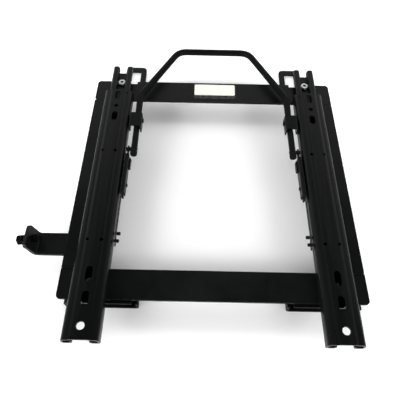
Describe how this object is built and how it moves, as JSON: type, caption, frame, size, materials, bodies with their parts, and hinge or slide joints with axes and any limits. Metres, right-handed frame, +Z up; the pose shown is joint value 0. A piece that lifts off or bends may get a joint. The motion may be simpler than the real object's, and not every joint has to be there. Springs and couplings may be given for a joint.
{
  "type": "seat slide rail",
  "caption": "Black steel seat base with two ball-guided slide rails on a floor frame, a bent lift handle that frees both locks, and a side arm",
  "frame": {"origin": "middle of the footprint at floor level, under the feet", "axes": "+X to the right of the seat, +Y to the front of the seat along the rails, +Z up from the floor"},
  "size_m": [0.4288, 0.4734, 0.0411],
  "materials": {
    "black_paint": "satin black over formed steel",
    "zinc": "bright zinc plate",
    "dark_steel": "dark phosphated steel",
    "spring_steel": "oiled spring wire",
    "ball_cage": "natural nylon with steel balls",
    "cap_plastic": "matt",
    "label": "blank, light sheen"
  },
  "bodies": {
    "floor_frame": {"front_cross_bar": "black_paint", "rear_cross_bar": "black_paint", "left_side_plate": "black_paint", "left_front_foot": "black_paint", "left_rear_foot": "black_paint", "left_lower_rail": "black_paint", "right_side_plate": "black_paint", "right_front_foot": "black_paint", "right_rear_foot": "black_paint", "right_lower_rail": "black_paint", "side_arm": "black_paint", "side_arm_bolt": "dark_steel", "side_arm_nut": "dark_steel", "left_front_rail_rivet": "zinc", "left_rear_rail_rivet": "zinc", "right_front_rail_rivet": "zinc", "right_rear_rail_rivet": "zinc", "blank_label": "label"},
    "left_upper": {"left_upper_rail": "black_paint", "left_handle_saddle": "black_paint", "left_lock_housing": "black_paint", "left_handle_pin": "dark_steel", "left_lever_rivet": "dark_steel", "left_front_spring_peg": "dark_steel", "left_rear_spring_peg": "dark_steel"},
    "left_cages": {"left_inner_ball_cage": "ball_cage", "left_outer_ball_cage": "ball_cage"},
    "left_lever": {"left_lock_lever": "dark_steel"},
    "left_spring": {"left_lock_spring": "spring_steel"},
    "right_upper": {"right_upper_rail": "black_paint", "right_handle_saddle": "black_paint", "right_lock_housing": "black_paint", "right_handle_pin": "dark_steel", "right_lever_rivet": "dark_steel", "right_front_spring_peg": "dark_steel", "right_rear_spring_peg": "dark_steel"},
    "right_cages": {"right_inner_ball_cage": "ball_cage", "right_outer_ball_cage": "ball_cage"},
    "right_lever": {"right_lock_lever": "dark_steel"},
    "right_spring": {"right_lock_spring": "spring_steel"},
    "handle": {"handle_bar": "black_paint", "left_handle_cap": "cap_plastic", "left_link_pin": "dark_steel", "right_handle_cap": "cap_plastic", "right_link_pin": "dark_steel"}
  },
  "joints": [
    {"name": "left_slide", "type": "slide", "parent": "floor_frame", "child": "left_upper", "axis": [0, 1, 0], "range_m": [-0.062, 0.158]},
    {"name": "right_slide", "type": "slide", "parent": "floor_frame", "child": "right_upper", "axis": [0, 1, 0], "range_m": [-0.062, 0.158]},
    {"name": "left_cage_roll", "type": "slide", "parent": "floor_frame", "child": "left_cages", "axis": [0, 1, 0], "range_m": [-0.031, 0.079]},
    {"name": "right_cage_roll", "type": "slide", "parent": "floor_frame", "child": "right_cages", "axis": [0, 1, 0], "range_m": [-0.031, 0.079]},
    {"name": "handle_lift", "type": "hinge", "parent": "left_upper", "child": "handle", "pos_m": [0.02989, 0.07976, 0.033], "axis": [1, 0, 0], "range_deg": [0, 4.5]},
    {"name": "left_lever_turn", "type": "hinge", "parent": "left_upper", "child": "left_lever", "pos_m": [-0.09011, -0.03124, 0.0285], "axis": [1, 0, 0], "range_deg": [-4.2, 0]},
    {"name": "left_spring_flex", "type": "hinge", "parent": "left_upper", "child": "left_spring", "pos_m": [-0.09141, -0.10424, 0.0293], "axis": [1, 0, 0], "range_deg": [0, 1.7]},
    {"name": "right_lever_turn", "type": "hinge", "parent": "right_upper", "child": "right_lever", "pos_m": [0.14989, -0.03124, 0.0285], "axis": [1, 0, 0], "range_deg": [-4.2, 0]},
    {"name": "right_spring_flex", "type": "hinge", "parent": "right_upper", "child": "right_spring", "pos_m": [0.15119, -0.10424, 0.0293], "axis": [1, 0, 0], "range_deg": [0, 1.7]}
  ],
  "couplings": [
    {"joint": "right_slide", "follows": "left_slide", "ratio": 1},
    {"joint": "left_cage_roll", "follows": "left_slide", "ratio": 0.5},
    {"joint": "right_cage_roll", "follows": "left_slide", "ratio": 0.5},
    {"joint": "left_lever_turn", "follows": "handle_lift", "ratio": -0.92},
    {"joint": "left_spring_flex", "follows": "handle_lift", "ratio": 0.36},
    {"joint": "right_lever_turn", "follows": "handle_lift", "ratio": -0.92},
    {"joint": "right_spring_flex", "follows": "handle_lift", "ratio": 0.36}
  ]
}
